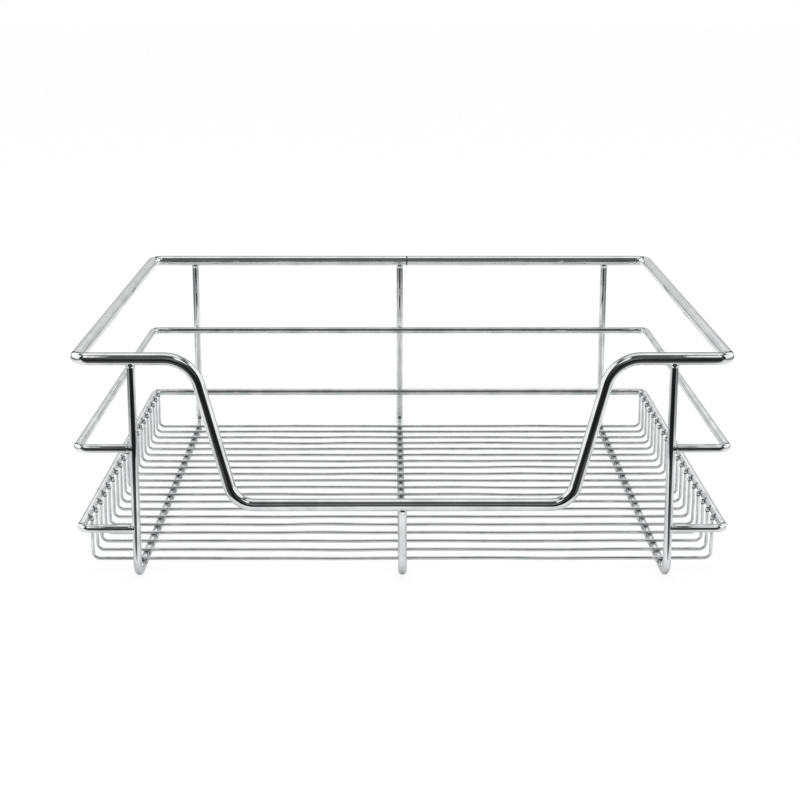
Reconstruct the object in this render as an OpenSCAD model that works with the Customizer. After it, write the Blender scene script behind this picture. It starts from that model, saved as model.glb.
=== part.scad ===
// Pull out wire basket for a kitchen cabinet, welded up from bent steel rods and chrome plated.
// Millimetres. X runs across the cabinet, +Y runs to its back, +Z is up.
// The origin is on the cabinet's shelf, under the middle of the basket.

/* [Basket] */
// Width over the outsides of the rim and rails
basket_w = 464; // [364:1:564]
// Depth over the outsides of the rim
basket_d = 430; // [380:1:500]
// Height from the feet to the top of the rim
basket_h = 166; // [150:1:220]

/* [Rods] */
// Diameter of the rod that the top rim is bent from
rim_d = 9; // [8:0.5:12]
// Diameter of the rod that the middle and lower rails are bent from
rail_d = 6; // [5:0.5:8]
// Diameter of the rod that the legs are bent from
leg_d = 6; // [5:0.5:8]
// Diameter of the wires that make the base
base_d = 2.5; // [2:0.1:4]
// How far two crossing rods sink into each other where they are spot welded
weld_set = 0.15; // [0.05:0.05:0.25]
// How much thinner a rod is drawn where it is bent
bend_draw = 0.02; // [0.01:0.01:0.1]

/* [Front cut out] */
// Height of the dipped bar's centre line above the feet
dip_z = 55.5; // [50:0.5:70]
// Distance from the basket's side to the corner where the rim turns down
dip_inset = 85; // [75:1:95]
// Lean of the two sloping stretches from upright
dip_lean = 15; // [5:1:20]
// Bend radius at the top of each slope, on the centre line
dip_top_r = 25; // [18:1:28]
// Bend radius at the foot of each slope, on the centre line
dip_foot_r = 18; // [12:1:22]

/* [Rim] */
// Bend radius of the rim's four corners, on the centre line
rim_bend_r = 9; // [8:0.5:14]
// How far the butt weld that closes the rim lies to the right of the middle
seam_x = 6.5; // [6:0.5:20]
// Width of the groove left beside the butt weld
seam_gap = 0.4; // [0.2:0.1:0.8]
// Depth of the groove left beside the butt weld
seam_depth = 0.3; // [0.1:0.1:0.6]

/* [Rails] */
// Height of the middle rail's centre line above the feet
middle_z = 97; // [80:1:120]
// Height of the lower rail's centre line above the feet
lower_z = 38; // [30:1:45]
// Bend radius of the rails' corners, on the centre line
rail_bend_r = 7; // [6:0.5:12]

/* [Legs] */
// Distance from the basket's side to the middle of the outer legs
leg_inset = 43; // [36:1:48]
// Bend radius where each leg turns under the base, on the centre line
leg_bend_r = 12; // [8:1:16]

/* [Base] */
// Number of wires that make the base
base_count = 20; // [16:1:22]
// Distance from the front leg bends to the first base wire
base_front_margin = 13.5; // [4:0.5:20]
// Distance from the last base wire to the back leg bends
base_back_margin = 3.5; // [2:0.5:20]
// Bend radius where each base wire turns up, on the centre line
base_bend_r = 5; // [4:0.5:8]
// How far the ends of the base wires stand above the lower rail's centre line
base_end_rise = 1.5; // [0.5:0.5:2]

/* [Hidden] */

chrome = [0.80, 0.81, 0.83];
// Length of the taper from a straight rod to its thinner bend, and length that the bend reaches into the rod.
bend_taper = 0.3;
bend_lap = 0.2;
$fn = 48;

// Centre lines of the rim.
rim_x = basket_w / 2 - rim_d / 2;
rim_y = basket_d / 2 - rim_d / 2;
rim_z = basket_h - rim_d / 2;

// Corners of the front cut out, where the centre lines would meet without their bends.
dip_top_x = basket_w / 2 - dip_inset;
dip_foot_x = dip_top_x - (rim_z - dip_z) * tan(dip_lean);

// Centre lines of the legs. They stand right under the rim's front and back bars.
leg_x = basket_w / 2 - leg_inset;
leg_z = leg_d / 2;

// Centre lines of the rails. Their back bars lie against the insides of the back legs.
rail_x = basket_w / 2 - rail_d / 2;
rail_back_y = rim_y - leg_d / 2 - rail_d / 2 + weld_set;

// Centre lines of the base wires. They lie on the legs and turn up inside the lower rail.
base_x = rail_x - rail_d / 2 - base_d / 2 + weld_set;
base_z = leg_d + base_d / 2 - weld_set;
base_end_z = lower_z + base_end_rise;
base_front_y = -rim_y + leg_bend_r + base_front_margin;
base_back_y = rim_y - leg_bend_r - base_back_margin;
base_pitch = (base_back_y - base_front_y) / (base_count - 1);

function base_name(i) = str("base_wire_", i < 10 ? "0" : "", i);
function unit(v) = v / norm(v);

// Angle that the rod turns through at corner i of a path, and the length that the bend takes from each side.
function turn(path, i) = acos(unit(path[i] - path[i - 1]) * unit(path[i + 1] - path[i]));
function bend_take(path, bends, i) =
    i == 0 || i == len(path) - 1 ? 0 : bends[i] * tan(turn(path, i) / 2);

// One straight stretch of rod between two points, tapered on into the bends that it has at its ends.
module straight(from, to, d, bent_from = false, bent_to = false) {
    run = to - from;
    length = norm(run);
    tip_d = d - 2 * bend_taper;
    translate(from) rotate([0, acos(run.z / length), atan2(run.y, run.x)]) {
        cylinder(d = d, h = length);
        if (bent_from) translate([0, 0, -bend_taper]) cylinder(d1 = tip_d, d2 = d, h = bend_taper);
        if (bent_to) translate([0, 0, length]) cylinder(d1 = d, d2 = tip_d, h = bend_taper);
    }
}

// One bend of rod, in the plane of its two stretches. Its ends reach a little into them.
module elbow(path, bends, i, d) {
    along = unit(path[i] - path[i - 1]);
    next = unit(path[i + 1] - path[i]);
    inward = unit(next - (next * along) * along);
    start = path[i] - along * bend_take(path, bends, i);
    centre = start + inward * bends[i];
    spin = cross(-inward, along);
    lap_angle = bend_lap / bends[i] * 180 / PI;
    multmatrix([
        [-inward.x, along.x, spin.x, centre.x],
        [-inward.y, along.y, spin.y, centre.y],
        [-inward.z, along.z, spin.z, centre.z],
        [0, 0, 0, 1]
    ])
        rotate([0, 0, -lap_angle])
        rotate_extrude(angle = turn(path, i) + 2 * lap_angle)
        translate([bends[i], 0])
        circle(d = d - bend_draw);
}

// A rod bent along a path of corners. bends holds one radius per point, and the ends' are not used.
module bent_rod(path, bends, d) {
    last = len(path) - 1;
    for (i = [0:last - 1]) {
        along = unit(path[i + 1] - path[i]);
        straight(
            path[i] + along * bend_take(path, bends, i),
            path[i + 1] - along * bend_take(path, bends, i + 1),
            d,
            i > 0,
            i < last - 1
        );
    }
    for (i = [1:last - 1]) elbow(path, bends, i, d);
}

// The thick closed rim. It dips at the front so that hands reach in, and the dipped bar is also the pull.
module top_rim() {
    seam_from = [seam_x + seam_gap / 2, rim_y, rim_z];
    seam_to = [seam_x - seam_gap / 2, rim_y, rim_z];
    path = [
        seam_from,
        [rim_x, rim_y, rim_z],
        [rim_x, -rim_y, rim_z],
        [dip_top_x, -rim_y, rim_z],
        [dip_foot_x, -rim_y, dip_z],
        [-dip_foot_x, -rim_y, dip_z],
        [-dip_top_x, -rim_y, rim_z],
        [-rim_x, -rim_y, rim_z],
        [-rim_x, rim_y, rim_z],
        seam_to
    ];
    bends = [
        0, rim_bend_r, rim_bend_r, dip_top_r, dip_foot_r, dip_foot_r, dip_top_r, rim_bend_r, rim_bend_r, 0
    ];
    color(chrome) {
        bent_rod(path, bends, rim_d);
        straight(seam_to - [1, 0, 0], seam_from + [1, 0, 0], rim_d - 2 * seam_depth);
    }
}

// A rail that runs round the back and both sides and turns in at the front to end on the two outer legs.
module rail(z) {
    path = [
        [-leg_x, -rim_y, z],
        [-rail_x, -rim_y, z],
        [-rail_x, rail_back_y, z],
        [rail_x, rail_back_y, z],
        [rail_x, -rim_y, z],
        [leg_x, -rim_y, z]
    ];
    bends = [0, rail_bend_r, rail_bend_r, rail_bend_r, rail_bend_r, 0];
    color(chrome) difference() {
        bent_rod(path, bends, rail_d);
        for (side = [-1, 1]) translate([side * leg_x, -rim_y, z - rail_d]) cylinder(d = leg_d, h = 2 * rail_d);
    }
}

// A leg that runs down the front, under the base and up the back. Its ends are coped to the bars that they meet.
module leg(x, front_bar_z) {
    path = [
        [x, -rim_y, front_bar_z],
        [x, -rim_y, leg_z],
        [x, rim_y, leg_z],
        [x, rim_y, rim_z]
    ];
    color(chrome) difference() {
        bent_rod(path, [0, leg_bend_r, leg_bend_r, 0], leg_d);
        translate([x - leg_d, -rim_y, front_bar_z]) rotate([0, 90, 0]) cylinder(d = rim_d, h = 2 * leg_d);
        translate([x - leg_d, rim_y, rim_z]) rotate([0, 90, 0]) cylinder(d = rim_d, h = 2 * leg_d);
    }
}

// One wire of the base. It lies across the legs and turns up at both sides to end on the lower rail.
module base_wire(i) {
    y = base_front_y + (i - 1) * base_pitch;
    path = [
        [-base_x, y, base_end_z],
        [-base_x, y, base_z],
        [base_x, y, base_z],
        [base_x, y, base_end_z]
    ];
    color(chrome) bent_rod(path, [0, base_bend_r, base_bend_r, 0], base_d);
}

top_rim();
rail(middle_z);  // middle_rail
rail(lower_z);  // lower_rail
leg(-leg_x, rim_z);  // left_leg
leg(0, dip_z);  // centre_leg
leg(leg_x, rim_z);  // right_leg
for (i = [1:base_count]) base_wire(i);
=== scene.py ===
"""Looks of a pull out wire basket for a kitchen cabinet: bent steel rods, welded up and bright chrome plated.

The sizes below are in millimetres and the meshes in metres, unless a comment says otherwise. X runs across
the cabinet, +Y runs to its back and +Z is up.
"""

import logging
import math
from dataclasses import dataclass, field
from enum import Enum
from typing import Dict, List, Optional, Sequence, Tuple, Union

import bmesh
import bpy
from mathutils import Matrix, Vector, noise


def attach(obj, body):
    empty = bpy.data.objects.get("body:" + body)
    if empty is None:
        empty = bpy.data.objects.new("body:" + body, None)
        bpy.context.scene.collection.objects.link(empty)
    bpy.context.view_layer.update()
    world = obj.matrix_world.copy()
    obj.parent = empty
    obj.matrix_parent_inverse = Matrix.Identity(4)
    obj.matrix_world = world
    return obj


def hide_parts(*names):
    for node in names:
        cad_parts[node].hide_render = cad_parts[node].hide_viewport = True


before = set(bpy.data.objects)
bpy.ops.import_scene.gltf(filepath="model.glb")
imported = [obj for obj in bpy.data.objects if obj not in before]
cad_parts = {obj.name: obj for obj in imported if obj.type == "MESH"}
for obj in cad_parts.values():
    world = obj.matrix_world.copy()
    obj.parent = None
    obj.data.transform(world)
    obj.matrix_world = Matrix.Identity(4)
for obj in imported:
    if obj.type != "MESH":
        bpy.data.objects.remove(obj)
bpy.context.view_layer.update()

MM = 0.001
BODY = "root"
log = logging.getLogger("basket")

Colour = Tuple[float, float, float, float]
Element = Union[bmesh.types.BMVert, bmesh.types.BMEdge, bmesh.types.BMFace]
# Where a soft edge starts, and where it is full.
Span = Tuple[float, float]
# A linear grey for each height above the horizon, in degrees.
Tones = Tuple[Tuple[float, float], ...]

# Sizes that several pieces share: the rods' diameters, and where the centre lines of the rim's bars, the
# legs and the base wires lie.
RIM_D = 9.0
RIM_Z = 161.5
DIP_Z = 55.5
BAR_Y = 210.5
LEG_D = 6.0
LEG_X = 189.0
WIRE_COUNT = 20
FIRST_WIRE_Y = -185.0
LAST_WIRE_Y = 195.0


def linear(hex_colour: str) -> Colour:
    """Turns an sRGB colour into the linear one that shaders take.

    Args:
        hex_colour: Six hex digits, such as "c9cdd2".

    Returns:
        Linear red, green and blue, and an alpha of 1.
    """
    shares = [int(hex_colour[i:i + 2], 16) / 255 for i in (0, 2, 4)]
    red, green, blue = (s / 12.92 if s <= 0.04045 else ((s + 0.055) / 1.055) ** 2.4 for s in shares)
    return red, green, blue, 1.0


def grey(level: float) -> Colour:
    """A linear grey as a colour."""
    return level, level, level, 1.0


def add_node(
    tree: bpy.types.NodeTree, kind: str, settings: Optional[Dict[Union[int, str], object]] = None,
) -> bpy.types.Node:
    """Adds one shader node with its settings and links.

    A Mix node takes its share at input 0 and its two colours at inputs 6 and 7, and gives the mixed
    colour at output 2.

    Args:
        tree: The node tree that gets it.
        kind: The node's type name.
        settings: What goes to each property, by its name, or input, by its name or number: a value, or
            the output of another node, which is linked.

    Returns:
        The new node.
    """
    node = tree.nodes.new(kind)
    for key, value in (settings or {}).items():
        if isinstance(value, bpy.types.NodeSocket):
            tree.links.new(value, node.inputs[key])
        elif isinstance(key, int) or key in node.inputs:
            node.inputs[key].default_value = value
        else:
            setattr(node, key, value)
    return node


class RodEnd(Enum):
    """How the ends of a rod are finished.

    Each value lists the rings from the end on, up to the plain rod: a ring's distance from the end, and its
    share of the rod's radius.
    """

    # The thin tip and the swelling that a spot weld leaves on a wire.
    UPSET = (
        (0.0, 0.40), (0.1, 0.75), (0.35, 1.10), (0.8, 1.35), (1.4, 1.48), (2.0, 1.45), (2.7, 1.25),
        (3.4, 1.08), (4.2, 1.0))
    # The bead round a rod that is welded to another one.
    WELDED = (
        (0.0, 1.05), (1.2, 1.06), (1.65, 1.11), (2.15, 1.13), (2.75, 1.10), (3.25, 1.03), (3.75, 1.0))


@dataclass(frozen=True)
class WeldShadeAndSeamMarks:
    """Dark marks at the welds: painted shade in the crevices, and the rim's dark seam line.

    The eye sees a small dark mark at each weld. Where a base wire meets a leg or the lower rail,
    the mark is painted shade in the crevice, standing in for its shadow and dark reflections; at the
    rim's butt weld it is the seam's own dark line. The marks repeat along Y, once for each base wire.

    Attributes:
        low: The marks' lower limit in Z.
        high: Their upper limit in Z.
        front: How far each mark reaches in front of its wire.
        behind: How far it reaches behind the wire.
        left: The marks' left limit in X.
        right: Their right limit in X.
        first: The first wire's Y.
        last: The last wire's Y.
        pitch: The distance from wire to wire.
        soft: Half the width of a mark's soft edge.
    """

    low: float
    high: float
    front: float = 10.0
    behind: float = 10.0
    left: float = -300.0
    right: float = 300.0
    first: float = FIRST_WIRE_Y
    last: float = LAST_WIRE_Y
    pitch: float = (LAST_WIRE_Y - FIRST_WIRE_Y) / (WIRE_COUNT - 1)
    soft: float = 0.25

    def within(
        self, tree: bpy.types.NodeTree, value: bpy.types.NodeSocket, low: float, high: float,
    ) -> bpy.types.NodeSocket:
        """Finds where a length lies between two limits.

        Args:
            tree: The material's node tree.
            value: The length, in metres.
            low: The lower limit.
            high: The upper limit.

        Returns:
            1 between the limits and 0 elsewhere, with soft edges.
        """
        middle, half = (low + high) / 2, (high - low) / 2
        off = add_node(tree, "ShaderNodeMath", {"operation": "SUBTRACT", 0: value, 1: middle * MM})
        gap = add_node(tree, "ShaderNodeMath", {"operation": "ABSOLUTE", 0: off.outputs[0]})
        return add_node(
            tree, "ShaderNodeMapRange",
            {"interpolation_type": "SMOOTHSTEP", "From Min": (half + self.soft) * MM,
             "From Max": (half - self.soft) * MM, "Value": gap.outputs[0]},
        ).outputs["Result"]

    def mask(self, tree: bpy.types.NodeTree, place: bpy.types.NodeSocket) -> bpy.types.NodeSocket:
        """Finds the crevices.

        Args:
            tree: The material's node tree.
            place: The Object coordinates.

        Returns:
            1 in the crevices and 0 elsewhere.
        """
        at = add_node(tree, "ShaderNodeSeparateXYZ", {"Vector": place}).outputs
        past = add_node(
            tree, "ShaderNodeMath",
            {"operation": "SUBTRACT", 0: at["Y"], 1: (self.first - self.front) * MM})
        along = add_node(
            tree, "ShaderNodeMath",
            {"operation": "FLOORED_MODULO", 0: past.outputs[0], 1: self.pitch * MM})
        found = self.within(tree, along.outputs[0], 0.0, self.front + self.behind)
        for limit in (
            self.within(tree, at["Y"], self.first - self.front, self.last + self.behind),
            self.within(tree, at["X"], self.left, self.right),
            self.within(tree, at["Z"], self.low, self.high),
        ):
            found = add_node(
                tree, "ShaderNodeMath", {"operation": "MULTIPLY", 0: found, 1: limit}).outputs[0]
        return found


@dataclass(frozen=True)
class ChromeFinish:
    """Bright chrome plated drawn steel: a mirror with a faint grey tone, on a rod that is never quite true.

    The eye sees sharp black and white reflections that ripple a little along the rod.

    Attributes:
        name: The material's name.
        colour: The clear plating's colour.
        tone: The colour of its cloudy patches.
        ripple_mm: The length of the rod's own waves.
        peel_mm: The size of the plating's orange peel.
        cloud_mm: The size of the cloudy patches.
        crevices: The dark marks at the welds: painted shade in the weld crevices, and the rim's dark seam
            line.
        shade_and_seam_colour: The marks' colour.
        ripple_depth_mm: The depth of the waves.
        peel_depth_mm: The depth of the orange peel.
        roughness: The roughness where the plating is clear.
        haze: The roughness where it is hazy.
        haze_span: The heights of the orange peel between which the haze comes in.
        cloud_span: The levels of the cloud pattern between which the patches come in.
    """

    name: str
    colour: str
    tone: str
    ripple_mm: float
    peel_mm: float
    cloud_mm: float
    crevices: Tuple[WeldShadeAndSeamMarks, ...] = ()
    shade_and_seam_colour: str = "505356"
    ripple_depth_mm: float = 0.05
    peel_depth_mm: float = 0.0025
    roughness: float = 0.03
    haze: float = 0.05
    haze_span: Span = (0.35, 0.7)
    cloud_span: Span = (0.42, 0.66)

    def relief(
        self, tree: bpy.types.NodeTree, ripple: bpy.types.NodeSocket, peel: bpy.types.NodeSocket,
    ) -> bpy.types.NodeSocket:
        """Makes the fine relief of the surface, with the orange peel on top of the rod's waves.

        Args:
            tree: The material's node tree.
            ripple: The waves' height, from 0 to 1.
            peel: The orange peel's height, from 0 to 1.

        Returns:
            The surface's normal.
        """
        waves = add_node(
            tree, "ShaderNodeBump",
            {"Strength": 1.0, "Distance": self.ripple_depth_mm * MM, "Height": ripple})
        return add_node(
            tree, "ShaderNodeBump",
            {"Strength": 1.0, "Distance": self.peel_depth_mm * MM, "Height": peel,
             "Normal": waves.outputs["Normal"]},
        ).outputs["Normal"]

    def material(self) -> bpy.types.Material:
        """Makes the finish's node material.

        Returns:
            The material.
        """
        made = bpy.data.materials.new(self.name)
        made.use_nodes = True
        tree = made.node_tree
        tree.nodes.clear()
        place = add_node(tree, "ShaderNodeTexCoord").outputs["Object"]
        # The drawn rod's own waves are as long as the marks that the straightening rollers leave. The
        # plating's faint orange peel is drawn coarser than the real one so that it shows. Drawing and
        # plating leave soft cloudy patches along the rod, a shade darker than the rest.
        ripple, peel, cloudy = (
            add_node(
                tree, "ShaderNodeTexNoise",
                {"Scale": 1 / (size_mm * MM), "Detail": detail, "Roughness": rough, "Vector": place},
            ).outputs["Fac"]
            for size_mm, detail, rough in (
                (self.ripple_mm, 1.0, 0.4), (self.peel_mm, 2.0, 0.5), (self.cloud_mm, 3.0, 0.6))
        )
        # Plating haze: small soft patches where the mirror is a little less sharp.
        hazy = add_node(
            tree, "ShaderNodeMapRange",
            {"From Min": self.haze_span[0], "From Max": self.haze_span[1], "To Min": self.roughness,
             "To Max": self.haze, "Value": peel})
        cloud = add_node(
            tree, "ShaderNodeMapRange",
            {"From Min": self.cloud_span[0], "From Max": self.cloud_span[1], "Value": cloudy})
        plated = add_node(
            tree, "ShaderNodeMix",
            {"data_type": "RGBA", 0: cloud.outputs["Result"], 6: linear(self.colour),
             7: linear(self.tone)},
        ).outputs[2]
        # Darken the plating at the marks: painted shade in the weld crevices, and the dark seam line at the
        # rim's butt weld.
        for crevices in self.crevices:
            plated = add_node(
                tree, "ShaderNodeMix",
                {"data_type": "RGBA", 0: crevices.mask(tree, place), 6: plated,
                 7: linear(self.shade_and_seam_colour)},
            ).outputs[2]
        shader = add_node(
            tree, "ShaderNodeBsdfPrincipled",
            {"Metallic": 1.0, "Base Color": plated, "Roughness": hazy.outputs["Result"],
             "Normal": self.relief(tree, ripple, peel)})
        add_node(tree, "ShaderNodeOutputMaterial", {"Surface": shader.outputs["BSDF"]})
        return made


# The thickest and brightest rod. The eye sees a dull line at its butt weld.
CHROME_RIM = ChromeFinish(
    "bright chrome plated drawn steel, 9 mm rim rod", colour="fafbfb", tone="e4e6e7",
    ripple_mm=14.0, peel_mm=2.6, cloud_mm=22.0,
    crevices=(
        WeldShadeAndSeamMarks(
            low=150.0, high=170.0, front=6.0, behind=6.0, left=5.9, right=7.1, first=BAR_Y, last=BAR_Y),))

# Cloudier than the rim. The eye sees soft grey patches along its bars.
CHROME_RAIL = ChromeFinish(
    "bright chrome plated drawn steel, 6 mm middle rail rod", colour="f9fafb", tone="d9dbdd",
    ripple_mm=12.0, peel_mm=2.4, cloud_mm=18.0)

# The same, with a dark fleck on the inside of its side bars where each base wire is welded on: painted
# shade in that crevice.
CHROME_LOWER_RAIL = ChromeFinish(
    "bright chrome plated drawn steel, 6 mm lower rail rod", colour="f9fafb", tone="d9dbdd",
    ripple_mm=12.0, peel_mm=2.4, cloud_mm=18.0,
    crevices=(WeldShadeAndSeamMarks(low=36.0, high=40.6, front=2.0, behind=2.0, left=-227.7, right=227.7),))

# Under the base the eye sees a grey stroke on its flanks and one on its top at each base wire: painted
# shade in the crevice where the wire lies on the leg.
CHROME_LEG = ChromeFinish(
    "bright chrome plated drawn steel, 6 mm leg rod", colour="f8f9fa", tone="dcdee0",
    ripple_mm=12.0, peel_mm=2.4, cloud_mm=18.0,
    crevices=(
        WeldShadeAndSeamMarks(low=3.8, high=5.2, front=4.6, behind=1.5),
        WeldShadeAndSeamMarks(low=3.8, high=6.4, front=1.6, behind=1.5)),
    shade_and_seam_colour="85888b")

# The thinnest and least true rod. The eye sees two dark rings near each upset tip: painted shade of the
# crevice where the tip is welded to the lower rail.
CHROME_WIRE = ChromeFinish(
    "bright chrome plated drawn steel, 2.5 mm base wire", colour="f4f5f6", tone="e0e2e3",
    ripple_mm=9.0, peel_mm=2.0, cloud_mm=14.0, peel_depth_mm=0.003,
    crevices=(WeldShadeAndSeamMarks(low=36.0, high=37.0), WeldShadeAndSeamMarks(low=39.1, high=39.8)))


@dataclass
class RodBender:
    """A rod that is drawn along and bent in steps, as on a wire bending machine.

    A ring of the rod's section moves on and leaves its skin behind it.

    Attributes:
        start: Where the rod begins.
        along: The way it is drawn now.
        radius: Its radius at the current ring.
        sides: How many corners a ring has.
        wander: How far it strays from its true line.
        rest_pitch: The distance between the legs that hold it to its line, or 0 for none.
        wave: The length of its waves where it strays.
        aside: How far the current ring lies off the true line, in metres.
        mesh: Its skin so far, in metres.
        verts: The current ring's corners.
        edges: The current ring's edges.
        first_edges: The first ring's edges.
    """

    start: Vector
    along: Vector
    radius: float
    sides: int
    wander: float = 0.0
    rest_pitch: float = 0.0
    wave: float = 60.0
    aside: Vector = field(default_factory=Vector)
    mesh: bmesh.types.BMesh = field(init=False)
    verts: List[bmesh.types.BMVert] = field(init=False)
    edges: List[bmesh.types.BMEdge] = field(init=False)
    first_edges: List[bmesh.types.BMEdge] = field(init=False)

    def __post_init__(self) -> None:
        """Makes the first ring, square to the rod."""
        self.mesh = bmesh.new()
        turn = self.along.to_track_quat("Z", "Y").to_matrix().to_4x4()
        made = bmesh.ops.create_circle(
            self.mesh, cap_ends=False, radius=self.radius * MM, segments=self.sides,
            matrix=Matrix.Translation(self.start * MM) @ turn)
        self.verts = made["verts"]
        self.edges = list(dict.fromkeys(edge for vert in self.verts for edge in vert.link_edges))
        self.first_edges = self.edges

    def take_ring(self, geom: Sequence[Element]) -> None:
        """Makes the newest ring the current one.

        Args:
            geom: The new geometry, with the ring's corners and edges in it.
        """
        self.verts = [part for part in geom if isinstance(part, bmesh.types.BMVert)]
        known = set(self.verts)
        self.edges = [
            part for part in geom
            if isinstance(part, bmesh.types.BMEdge) and part.verts[0] in known and part.verts[1] in known]

    def centre(self) -> Vector:
        """The middle of the current ring, in metres."""
        return sum((vert.co for vert in self.verts), Vector()) / len(self.verts)

    def run(
        self, length: float, radius: Optional[float] = None, aside: Optional[Vector] = None,
    ) -> None:
        """Draws the rod straight on in one step.

        Args:
            length: How far. It may be 0 for a square shoulder.
            radius: The rod's radius at the new ring, if it changes.
            aside: How far the new ring lies off the rod's true line, in metres.
        """
        aside = aside or Vector()
        made = bmesh.ops.extrude_edge_only(self.mesh, edges=self.edges)
        self.take_ring(made["geom"])
        bmesh.ops.translate(
            self.mesh, vec=self.along * length * MM + aside - self.aside, verts=self.verts)
        self.aside = aside
        if radius is not None:
            grow = radius / self.radius
            bmesh.ops.scale(
                self.mesh, vec=(grow, grow, grow), space=Matrix.Translation(-self.centre()),
                verts=self.verts)
            self.radius = radius

    def straight(self, length: float, step: float, guard: float = 0.5) -> None:
        """Draws a long straight stretch, with a close ring at each end so that its shine stays straight.

        Args:
            length: The stretch's length.
            step: The greatest distance between two rings.
            guard: The distance from each end to its close ring.
        """
        if length <= 3 * guard:
            self.run(length)
            return
        self.run(guard)
        count = max(1, math.ceil((length - 2 * guard) / step))
        for i in range(1, count + 1):
            self.run((length - 2 * guard) / count, aside=self.stray(i / count))
        self.run(guard)

    def stray(self, share: float) -> Vector:
        """Works out how far a drawn wire lies off its true line, which it keeps where a leg holds it.

        Args:
            share: How much of the stretch is behind the ring, from 0 to 1.

        Returns:
            The offset in metres.
        """
        if not self.wander:
            return Vector()
        place = self.centre() - self.aside
        free = math.sin(math.pi * share)
        if self.rest_pitch:
            free *= abs(math.sin(math.pi * place.x / (self.rest_pitch * MM)))
        push = noise.noise_vector(place / (self.wave * MM)) * self.wander * MM * free
        return push - self.along * push.dot(self.along)

    def bend(self, onward: Vector, bend_radius: float, degrees_per_step: float = 4.0) -> None:
        """Bends the rod round to a new direction.

        Args:
            onward: The direction after the bend.
            bend_radius: The bend's radius on the centre line.
            degrees_per_step: How far the rod turns between two rings.
        """
        inward = (onward - self.along * onward.dot(self.along)).normalized()
        axis = self.along.cross(inward)
        angle = self.along.angle(onward)
        middle = self.centre() + inward * bend_radius * MM
        steps = max(2, math.ceil(math.degrees(angle) / degrees_per_step))
        made = bmesh.ops.spin(
            self.mesh, geom=self.verts + self.edges, cent=middle, axis=axis, dvec=(0, 0, 0), angle=angle,
            steps=steps, use_merge=False, use_normal_flip=False, use_duplicate=False)
        self.take_ring(made["geom_last"])
        self.along = onward.copy()

    def close_end(self, edges: Sequence[bmesh.types.BMEdge]) -> None:
        """Closes one end of the rod with a flat face whose rim stays crisp.

        Args:
            edges: The edges of the end's ring.
        """
        bmesh.ops.edgeloop_fill(self.mesh, edges=list(edges))
        for edge in edges:
            edge.smooth = False

    def join_ends(self) -> None:
        """Joins the current ring to the first one, so that the rod is a closed loop."""
        bmesh.ops.bridge_loops(self.mesh, edges=self.edges + self.first_edges)


@dataclass
class BentRod:
    """A rod bent along a line of corners.

    Attributes:
        corners: The points where its centre line would turn if its bends had no radius, end to end.
        bend_radii: Each corner's bend radius on the centre line. The two ends' aren't used.
        diameter: The rod's diameter.
        sides: How many corners its section has.
        end: How its ends are finished, if they don't meet.
        groove_gap: The width of the groove where its ends meet in a butt weld, or 0 if they don't.
        groove_depth: The groove's depth.
        lip_length: The length of the chamfer on each side of the groove.
        lip_depth: The chamfer's depth.
        wander: How far it strays from its true line.
        rest_pitch: The distance between the legs that hold it to its line, or 0 for none.
        step: The greatest distance between two rings of a straight stretch.
    """

    corners: List[Vector]
    bend_radii: List[float]
    diameter: float
    sides: int
    end: RodEnd = RodEnd.UPSET
    groove_gap: float = 0.0
    groove_depth: float = 0.0
    lip_length: float = 0.15
    lip_depth: float = 0.12
    wander: float = 0.0
    rest_pitch: float = 0.0
    step: float = 12.0

    def direction(self, i: int) -> Vector:
        """The direction from corner i to the next one."""
        return (self.corners[i + 1] - self.corners[i]).normalized()

    def bend_take(self, i: int) -> float:
        """Works out how much a bend takes from each of its two stretches.

        Args:
            i: The bend's corner.

        Returns:
            The length, which is 0 at the rod's ends.
        """
        if i in (0, len(self.corners) - 1):
            return 0.0
        return self.bend_radii[i] * math.tan(self.direction(i - 1).angle(self.direction(i)) / 2)

    def begin(self, radius: float) -> RodBender:
        """The rod's first ring, with a radius of its own."""
        return RodBender(
            self.corners[0], self.direction(0), radius, self.sides, self.wander, self.rest_pitch)

    def draw(self, rod: RodBender, taken: float) -> None:
        """Draws the straight stretches and the bends between the rod's ends.

        Args:
            rod: The rod, drawn as far as its first end goes.
            taken: The length that each end takes.
        """
        last = len(self.corners) - 1
        for i in range(last):
            length = (self.corners[i + 1] - self.corners[i]).length
            length -= self.bend_take(i)
            length -= self.bend_take(i + 1)
            length -= taken if i == 0 else 0.0
            length -= taken if i == last - 1 else 0.0
            rod.straight(length, self.step)
            if i < last - 1:
                rod.bend(self.direction(i + 1), self.bend_radii[i + 1])

    def closed_loop(self) -> RodBender:
        """Bends a rod whose ends meet in a butt weld with a groove.

        Returns:
            The whole rod.
        """
        radius = self.diameter / 2
        rod = self.begin(radius - self.lip_depth)
        rod.run(self.lip_length, radius)
        self.draw(rod, self.lip_length)
        rod.run(self.lip_length, radius - self.lip_depth)
        rod.run(0.0, radius - self.groove_depth)
        rod.run(self.groove_gap)
        rod.join_ends()
        return rod

    def open_rod(self) -> RodBender:
        """Bends a rod with two finished ends.

        Returns:
            The whole rod.
        """
        radius = self.diameter / 2
        rings = [(distance, share * radius) for distance, share in self.end.value]
        rod = self.begin(rings[0][1])
        for before, after in zip(rings, rings[1:]):
            rod.run(after[0] - before[0], after[1])
        self.draw(rod, rings[-1][0])
        rings.reverse()
        for before, after in zip(rings, rings[1:]):
            rod.run(before[0] - after[0], after[1])
        rod.close_end(rod.first_edges)
        rod.close_end(rod.edges)
        return rod

    def mesh(self) -> bmesh.types.BMesh:
        """Bends the rod.

        Returns:
            Its closed mesh in metres, with faces outward and smooth.
        """
        rod = self.closed_loop() if self.groove_gap else self.open_rod()
        bmesh.ops.recalc_face_normals(rod.mesh, faces=rod.mesh.faces)
        for face in rod.mesh.faces:
            face.smooth = True
        return rod.mesh


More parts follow.
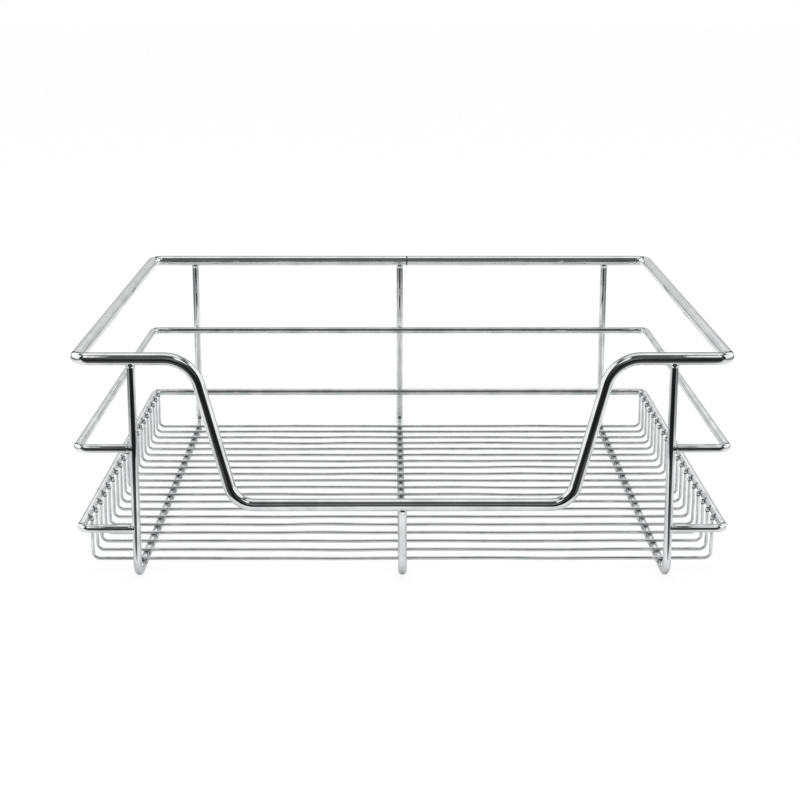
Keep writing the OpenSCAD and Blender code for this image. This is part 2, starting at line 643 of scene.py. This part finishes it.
def finish_piece(
    name: str, node: str, mesh: bmesh.types.BMesh, material: bpy.types.Material,
) -> None:
    """Puts a piece in the scene in place of its CAD node and reports it.

    Args:
        name: The piece's name.
        node: The CAD node that it stands for.
        mesh: Its finished mesh, in metres.
        material: Its finish.
    """
    data = bpy.data.meshes.new(name)
    mesh.to_mesh(data)
    mesh.free()
    data.materials.append(material)
    piece = bpy.data.objects.new(name, data)
    bpy.context.scene.collection.objects.link(piece)
    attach(piece, BODY)
    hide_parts(node)
    log.info("%s: %d faces, stands for %s", name, len(data.polygons), node)


@dataclass
class TopRim:
    """The thick rim round the mouth. It dips at the front, and the dipped bar is also the pull."""

    rod_d: float = RIM_D
    sides: int = 40
    half_width: float = 227.5
    half_depth: float = BAR_Y
    height: float = RIM_Z
    corner_r: float = 9.0
    dip_height: float = DIP_Z
    dip_top_x: float = 147.0
    dip_lean: float = 15.0
    dip_top_r: float = 25.0
    dip_foot_r: float = 18.0
    seam_x: float = 6.5
    seam_gap: float = 0.4
    seam_depth: float = 0.3

    def rod(self) -> BentRod:
        """Lays the rim out as one rod, from one side of its butt weld round to the other.

        Returns:
            The rod.
        """
        x, y, z = self.half_width, self.half_depth, self.height
        foot_x = self.dip_top_x - (z - self.dip_height) * math.tan(math.radians(self.dip_lean))
        corners = [
            (self.seam_x + self.seam_gap / 2, y, z),
            (x, y, z),
            (x, -y, z),
            (self.dip_top_x, -y, z),
            (foot_x, -y, self.dip_height),
            (-foot_x, -y, self.dip_height),
            (-self.dip_top_x, -y, z),
            (-x, -y, z),
            (-x, y, z),
            (self.seam_x - self.seam_gap / 2, y, z),
        ]
        corner, top, foot = self.corner_r, self.dip_top_r, self.dip_foot_r
        radii = [0, corner, corner, top, foot, foot, top, corner, corner, 0]
        return BentRod(
            [Vector(c) for c in corners], radii, self.rod_d, self.sides,
            groove_gap=self.seam_gap, groove_depth=self.seam_depth)

    def build(self, material: bpy.types.Material) -> None:
        """Builds the rim and dresses it in its material."""
        finish_piece("rim_rod", "top_rim", self.rod().mesh(), material)


@dataclass
class Rail:
    """A rod round the back and both sides that turns in at the front to end on the outer legs."""

    name: str
    node: str
    height: float
    rod_d: float = 6.0
    sides: int = 32
    half_width: float = 229.0
    back_y: float = 204.65
    front_y: float = -BAR_Y
    leg_x: float = LEG_X
    leg_d: float = LEG_D
    corner_r: float = 7.0
    weld_sink: float = 2.0

    def rod(self) -> BentRod:
        """Lays the rail out as one rod, from the left leg round to the right one.

        Returns:
            The rod.
        """
        end_x = self.leg_x + self.leg_d / 2 - self.weld_sink
        corners = [
            (-end_x, self.front_y),
            (-self.half_width, self.front_y),
            (-self.half_width, self.back_y),
            (self.half_width, self.back_y),
            (self.half_width, self.front_y),
            (end_x, self.front_y),
        ]
        radii = [0] + 4 * [self.corner_r] + [0]
        return BentRod(
            [Vector((x, y, self.height)) for x, y in corners], radii, self.rod_d, self.sides, RodEnd.WELDED)

    def build(self, material: bpy.types.Material) -> None:
        """Builds the rail and dresses it in its material."""
        finish_piece(self.name, self.node, self.rod().mesh(), material)


@dataclass
class Leg:
    """A U-shaped rod that hangs from a front bar, runs under the base and rises to the rim's back bar."""

    name: str
    node: str
    x: float
    front_bar_z: float
    rod_d: float = LEG_D
    sides: int = 32
    half_depth: float = BAR_Y
    rim_z: float = RIM_Z
    rim_d: float = RIM_D
    bend_r: float = 12.0
    weld_sink: float = 2.0

    def rod(self) -> BentRod:
        """Lays the leg out as one rod, from its front bar to the rim's back bar.

        Returns:
            The rod.
        """
        sink = self.rim_d / 2 - self.weld_sink
        foot = self.rod_d / 2
        corners = [
            (self.x, -self.half_depth, self.front_bar_z - sink),
            (self.x, -self.half_depth, foot),
            (self.x, self.half_depth, foot),
            (self.x, self.half_depth, self.rim_z - sink),
        ]
        radii = [0, self.bend_r, self.bend_r, 0]
        return BentRod([Vector(c) for c in corners], radii, self.rod_d, self.sides, RodEnd.WELDED)

    def build(self, material: bpy.types.Material) -> None:
        """Builds the leg and dresses it in its material."""
        finish_piece(self.name, self.node, self.rod().mesh(), material)


@dataclass
class Base:
    """The row of thin wires that lie across the legs and turn up at both sides, inside the lower rail."""

    count: int = WIRE_COUNT
    wire_d: float = 2.5
    sides: int = 16
    half_width: float = 224.9
    height: float = 7.1
    end_z: float = 39.5
    bend_r: float = 5.0
    front_y: float = FIRST_WIRE_Y
    back_y: float = LAST_WIRE_Y
    leg_pitch: float = LEG_X
    wander: float = 0.9
    wander_seed: int = 7

    def wire(self, i: int) -> BentRod:
        """Lays one wire out.

        Args:
            i: The wire's number, counted from 0 at the front.

        Returns:
            The wire, from its left tip to its right one.
        """
        y = self.front_y + i * (self.back_y - self.front_y) / (self.count - 1)
        x = self.half_width
        corners = [(-x, y, self.end_z), (-x, y, self.height), (x, y, self.height), (x, y, self.end_z)]
        radii = [0, self.bend_r, self.bend_r, 0]
        return BentRod(
            [Vector(c) for c in corners], radii, self.wire_d, self.sides, RodEnd.UPSET,
            wander=self.wander, rest_pitch=self.leg_pitch)

    def build(self, material: bpy.types.Material) -> None:
        """Builds the wires and dresses them.

        Args:
            material: The wires' finish.
        """
        # Without a seed the noise starts from the clock, and the wires would stray anew each time.
        noise.seed_set(self.wander_seed)
        for i in range(self.count):
            number = f"{i + 1:02d}"
            finish_piece(
                f"wire_{number}", f"base_wire_{number}", self.wire(i).mesh(), material)


@dataclass(frozen=True)
class SweepPaper:
    """White matt sweep paper. Lengths are in metres from the middle of the basket, and greys are linear.

    The eye sees clean white. Mirrors see the paper with light and shade painted into its grey: greyer away
    from the light, and a painted shade under the basket. They also see the dark front of the room where the
    paper ends.

    Attributes:
        name: The material's name.
        white: The paper's own grey.
        shade_share: How much of the basket's faint shadow the camera sees.
        bow: How fast the front edge comes nearer to each side, per metre squared.
        bow_limit: How much nearer it comes at the most.
        edge: Where the paper ends in front.
        widening: How fast the dark front of the room widens away from the basket.
        wedge: Where its side edges would lie at the middle of the basket.
        dark: The grey of the dark front.
        dark_aside: Its grey to the sides and near the paper.
        aside_x: Where that begins to each side.
        aside_y: Where it ends in front.
        lit: What mirrors see of the paper near the basket.
        far: What they see of it far to the sides: painted shade, away from the light.
        far_x: Where the paper greys from the one to the other.
        under: What they see of it under the basket: the basket's painted shade.
        under_x: Where that ends to each side.
        under_y: Where it ends in front and behind.
    """

    name: str = "white matt sweep paper"
    white: float = 0.95
    shade_share: float = 0.15
    bow: float = 4.6
    bow_limit: float = 0.165
    edge: Span = (0.405, 0.445)
    widening: float = 0.9
    wedge: Span = (0.12, -0.05)
    dark: float = 0.012
    dark_aside: float = 0.07
    aside_x: Span = (0.14, 0.19)
    aside_y: Span = (0.80, 0.45)
    lit: float = 0.70
    far: float = 0.18
    far_x: Span = (0.35, 0.85)
    under: float = 0.57
    under_x: Span = (0.26, 0.20)
    under_y: Span = (0.24, 0.19)

    def mirrored(self, tree: bpy.types.NodeTree) -> bpy.types.NodeSocket:
        """Lays out what mirrors see of the paper and of the room past its edge.

        Args:
            tree: The material's node tree.

        Returns:
            The colour.
        """
        place = add_node(tree, "ShaderNodeTexCoord").outputs["Object"]
        at = add_node(tree, "ShaderNodeSeparateXYZ", {"Vector": place}).outputs
        aside = add_node(tree, "ShaderNodeMath", {"operation": "ABSOLUTE", 0: at["X"]}).outputs[0]
        ahead = add_node(tree, "ShaderNodeMath", {"operation": "ABSOLUTE", 0: at["Y"]}).outputs[0]
        # How far a point lies in front of the middle, counted as if the bowed front edge were straight.
        square = add_node(tree, "ShaderNodeMath", {"operation": "POWER", 0: aside, 1: 2.0})
        bow = add_node(
            tree, "ShaderNodeMath", {"operation": "MULTIPLY", 0: square.outputs[0], 1: self.bow})
        nearer = add_node(
            tree, "ShaderNodeMath", {"operation": "MINIMUM", 0: bow.outputs[0], 1: self.bow_limit})
        past = add_node(
            tree, "ShaderNodeMath", {"operation": "SUBTRACT", 0: nearer.outputs[0], 1: at["Y"]},
        ).outputs[0]
        spread = add_node(
            tree, "ShaderNodeMath", {"operation": "MULTIPLY", 0: at["Y"], 1: self.widening})
        reach = add_node(
            tree, "ShaderNodeMath", {"operation": "ADD", 0: aside, 1: spread.outputs[0]}).outputs[0]
        edge, wedge, aside_x, aside_y, under_x, under_y, far = (
            add_node(
                tree, "ShaderNodeMapRange",
                {"interpolation_type": "SMOOTHSTEP", "From Min": span[0], "From Max": span[1],
                 "Value": value},
            ).outputs["Result"]
            for value, span in (
                (past, self.edge), (reach, self.wedge), (aside, self.aside_x), (past, self.aside_y),
                (aside, self.under_x), (ahead, self.under_y), (aside, self.far_x))
        )
        # Each area lies where two of the soft edged masks overlap.
        front, beside, inside = (
            add_node(tree, "ShaderNodeMath", {"operation": "MULTIPLY", 0: one, 1: other}).outputs[0]
            for one, other in ((edge, wedge), (aside_x, aside_y), (under_x, under_y))
        )
        # Painted light and shade for mirrors: the paper greys away from the light, and the basket's shade is
        # painted under it.
        paper = add_node(
            tree, "ShaderNodeMix",
            {"data_type": "RGBA", 0: far, 6: grey(self.lit), 7: grey(self.far)})
        shaded = add_node(
            tree, "ShaderNodeMix",
            {"data_type": "RGBA", 0: inside, 6: paper.outputs[2], 7: grey(self.under)})
        room = add_node(
            tree, "ShaderNodeMix",
            {"data_type": "RGBA", 0: beside, 6: grey(self.dark), 7: grey(self.dark_aside)})
        return add_node(
            tree, "ShaderNodeMix",
            {"data_type": "RGBA", 0: front, 6: shaded.outputs[2], 7: room.outputs[2]},
        ).outputs[2]

    def material(self) -> bpy.types.Material:
        """Makes the paper's node material.

        Returns:
            The material.
        """
        made = bpy.data.materials.new(self.name)
        made.use_nodes = True
        tree = made.node_tree
        tree.nodes.clear()
        mirrored = add_node(tree, "ShaderNodeBsdfDiffuse", {"Color": self.mirrored(tree)})
        matt = add_node(tree, "ShaderNodeBsdfDiffuse", {"Color": grey(self.white)})
        glow = add_node(tree, "ShaderNodeEmission", {"Color": grey(1.0), "Strength": 1.0})
        rays = add_node(tree, "ShaderNodeLightPath").outputs
        shown = add_node(
            tree, "ShaderNodeMixShader",
            {0: self.shade_share, 1: glow.outputs[0], 2: matt.outputs[0]})
        camera = add_node(
            tree, "ShaderNodeMixShader",
            {0: rays["Is Camera Ray"], 1: matt.outputs[0], 2: shown.outputs[0]})
        glossy = add_node(
            tree, "ShaderNodeMixShader",
            {0: rays["Is Glossy Ray"], 1: camera.outputs[0], 2: mirrored.outputs[0]})
        add_node(tree, "ShaderNodeOutputMaterial", {"Surface": glossy.outputs[0]})
        return made


class Gauge(Enum):
    """What tells where a part of the room lies."""

    ASIDE = "the share of a ray that points to either side"
    TURNED = "the share of its level heading that points to the back"


@dataclass(frozen=True)
class RoomPart:
    """One part of the studio room, which covers the parts before it.

    Attributes:
        gauge: What tells where it lies.
        span: Where it starts to show, and where it shows alone.
        tones: Its greys.
    """

    gauge: Gauge
    span: Span
    tones: Tones


# Heights are in degrees above the horizon.
STRAIGHT_UP = 90

# The dark front of the room, lighter only near the ceiling.
ROOM_FRONT: Tones = (
    (0, 0.005), (4, 0.01), (9, 0.18), (23, 0.17), (29, 0.11), (42, 0.09), (50, 0.05), (60, 0.06),
    (70, 0.20), (80, 0.65), (90, 0.97))

ROOM_PARTS = (
    # The front goes on to each side, a little more even.
    RoomPart(Gauge.ASIDE, (0.10, 0.145), (
        (0, 0.03), (10, 0.08), (25, 0.10), (45, 0.09), (60, 0.08), (72, 0.10), (79, 0.80), (90, 0.97))),
    # One light stands high up on each side.
    RoomPart(Gauge.ASIDE, (0.160, 0.170), (
        (0, 0.03), (10, 0.05), (32, 0.06), (37, 1.0), (59, 1.0), (64, 0.06), (72, 0.08), (79, 0.80),
        (90, 0.97))),
    # A dark gap.
    RoomPart(Gauge.TURNED, (-0.76, -0.72), (
        (0, 0.005), (40, 0.01), (60, 0.02), (66, 0.60), (80, 0.85), (90, 0.97))),
    # Tall white panels along the sides.
    RoomPart(Gauge.TURNED, (-0.54, -0.48), (
        (0, 0.90), (6, 1.0), (45, 1.0), (51, 0.15), (60, 0.15), (66, 0.85), (90, 0.97))),
    # A dark corner.
    RoomPart(Gauge.TURNED, (0.80, 0.84), ((0, 0.05), (36, 0.05), (44, 0.80), (90, 0.97))),
    # A light grey wall across the back, with a dark band high up on it.
    RoomPart(Gauge.TURNED, (0.925, 0.95), (
        (0, 0.50), (8, 0.62), (14, 0.65), (16.5, 0.90), (20, 0.97), (23, 0.06), (44, 0.06), (50, 0.80),
        (90, 0.97))),
)


@dataclass
class Studio:
    """A plain light studio: a white sweep with a soft light above it, and the darker room round it.

    Chrome shows nothing but what stands round it, so the room's tones are laid out as mirrors meet them.

    Attributes:
        lens_mm: The camera's focal length.
        sensor_mm: Its sensor's width.
        eye_mm: Where it stands.
        pitch_deg: How far it looks down.
        yaw_deg: How far it looks to the right of straight back.
        roll_rad: How far it is rolled.
        far_m: How far it sees, in metres.
        floor_m: The sweep's length and width, in metres.
        lamp_m: The soft light's width and depth, in metres.
        lamp_height_m: Its height, in metres.
        lamp_watts: Its power.
    """

    lens_mm: float = 79.52
    sensor_mm: float = 36.0
    eye_mm: Tuple[float, float, float] = (-8.13, -1408.95, 425.75)
    pitch_deg: float = 13.774
    yaw_deg: float = 0.299
    roll_rad: float = 0.0008
    far_m: float = 50.0
    floor_m: float = 24.0
    lamp_m: Tuple[float, float] = (1.6, 1.2)
    lamp_height_m: float = 1.8
    lamp_watts: float = 9.0

    def camera(self) -> None:
        """Stands the camera where the photograph was taken from."""
        data = bpy.data.cameras.new("camera")
        data.lens = self.lens_mm
        data.sensor_width = self.sensor_mm
        data.clip_end = self.far_m
        pitch, yaw = math.radians(self.pitch_deg), math.radians(self.yaw_deg)
        ahead = Vector((
            math.sin(yaw) * math.cos(pitch), math.cos(yaw) * math.cos(pitch), -math.sin(pitch)))
        right = ahead.cross(Vector((0, 0, 1))).normalized()
        up = right.cross(ahead)
        turn = Matrix((right, up, -ahead)).transposed().to_4x4()
        eye = bpy.data.objects.new("camera", data)
        eye.matrix_world = (
            Matrix.Translation(Vector(self.eye_mm) * MM) @ turn @ Matrix.Rotation(self.roll_rad, 4, "Z"))
        bpy.context.scene.collection.objects.link(eye)
        bpy.context.scene.camera = eye

    def world(self) -> None:
        """Lays out the room that mirrors see. The camera and matt surfaces see even white."""
        world = bpy.data.worlds.new("studio room")
        bpy.context.scene.world = world
        world.use_nodes = True
        tree = world.node_tree
        tree.nodes.clear()
        way = add_node(tree, "ShaderNodeTexCoord").outputs["Generated"]
        ray = add_node(tree, "ShaderNodeSeparateXYZ", {"Vector": way}).outputs
        height = add_node(tree, "ShaderNodeMath", {"operation": "ARCSINE", 0: ray["Z"]})
        # 0 at the horizon and 1 straight up.
        rise = add_node(
            tree, "ShaderNodeMath", {"operation": "DIVIDE", 0: height.outputs[0], 1: math.pi / 2})
        level = add_node(
            tree, "ShaderNodeVectorMath", {"operation": "MULTIPLY", 0: way, 1: (1.0, 1.0, 0.0)})
        heading = add_node(
            tree, "ShaderNodeVectorMath", {"operation": "NORMALIZE", 0: level.outputs["Vector"]})
        north = add_node(tree, "ShaderNodeSeparateXYZ", {"Vector": heading.outputs["Vector"]}).outputs
        aside = add_node(tree, "ShaderNodeMath", {"operation": "ABSOLUTE", 0: ray["X"]})
        gauges = {Gauge.ASIDE: aside.outputs[0], Gauge.TURNED: north["Y"]}
        ramps = []
        for tones in (ROOM_FRONT, *(part.tones for part in ROOM_PARTS)):
            ramp = add_node(tree, "ShaderNodeValToRGB", {"Fac": rise.outputs[0]})
            elements = ramp.color_ramp.elements
            while len(elements) > 1:
                elements.remove(elements[-1])
            for i, (degrees, light) in enumerate(tones):
                stop = elements[0] if i == 0 else elements.new(degrees / STRAIGHT_UP)
                stop.position = degrees / STRAIGHT_UP
                stop.color = grey(light)
            ramps.append(ramp.outputs["Color"])
        seen = ramps[0]
        for part, tone in zip(ROOM_PARTS, ramps[1:]):
            share = add_node(
                tree, "ShaderNodeMapRange",
                {"interpolation_type": "SMOOTHSTEP", "From Min": part.span[0], "From Max": part.span[1],
                 "Value": gauges[part.gauge]})
            seen = add_node(
                tree, "ShaderNodeMix",
                {"data_type": "RGBA", 0: share.outputs["Result"], 6: seen, 7: tone},
            ).outputs[2]
        mirrored = add_node(tree, "ShaderNodeBackground", {"Color": seen, "Strength": 1.0})
        white = add_node(tree, "ShaderNodeBackground", {"Color": grey(1.0), "Strength": 1.0})
        rays = add_node(tree, "ShaderNodeLightPath").outputs
        shown = add_node(
            tree, "ShaderNodeMixShader",
            {0: rays["Is Glossy Ray"], 1: white.outputs[0], 2: mirrored.outputs[0]})
        add_node(tree, "ShaderNodeOutputWorld", {"Surface": shown.outputs[0]})

    def floor(self) -> None:
        """Lays the white sweep that the basket stands on."""
        mesh = bmesh.new()
        bmesh.ops.create_grid(mesh, x_segments=1, y_segments=1, size=self.floor_m / 2)
        data = bpy.data.meshes.new("sweep")
        mesh.to_mesh(data)
        mesh.free()
        data.materials.append(SweepPaper().material())
        paper = bpy.data.objects.new("sweep", data)
        bpy.context.scene.collection.objects.link(paper)

    def lamp(self) -> None:
        """Hangs one large soft light over the basket."""
        data = bpy.data.lights.new("soft light", "AREA")
        data.shape = "RECTANGLE"
        data.size, data.size_y = self.lamp_m
        data.energy = self.lamp_watts
        lamp = bpy.data.objects.new("soft light", data)
        lamp.visible_glossy = False
        lamp.location = (0.0, 0.0, self.lamp_height_m)
        bpy.context.scene.collection.objects.link(lamp)

    def build(self) -> None:
        """Sets the whole studio up."""
        self.camera()
        self.world()
        self.floor()
        self.lamp()
        log.info("studio: white sweep, one soft light, camera %.1f mm", self.lens_mm)


def main() -> None:
    logging.basicConfig(level=logging.INFO, format="%(name)s: %(message)s")
    bpy.context.scene.view_settings.view_transform = "Standard"
    Studio().build()
    TopRim().build(CHROME_RIM.material())
    Rail("rail_rod_middle", "middle_rail", height=97.0).build(CHROME_RAIL.material())
    Rail("rail_rod_lower", "lower_rail", height=38.0).build(CHROME_LOWER_RAIL.material())
    leg_chrome = CHROME_LEG.material()
    Leg("leg_rod_left", "left_leg", x=-LEG_X, front_bar_z=RIM_Z).build(leg_chrome)
    Leg("leg_rod_centre", "centre_leg", x=0.0, front_bar_z=DIP_Z).build(leg_chrome)
    Leg("leg_rod_right", "right_leg", x=LEG_X, front_bar_z=RIM_Z).build(leg_chrome)
    Base().build(CHROME_WIRE.material())


if __name__ == "__main__":
    main()
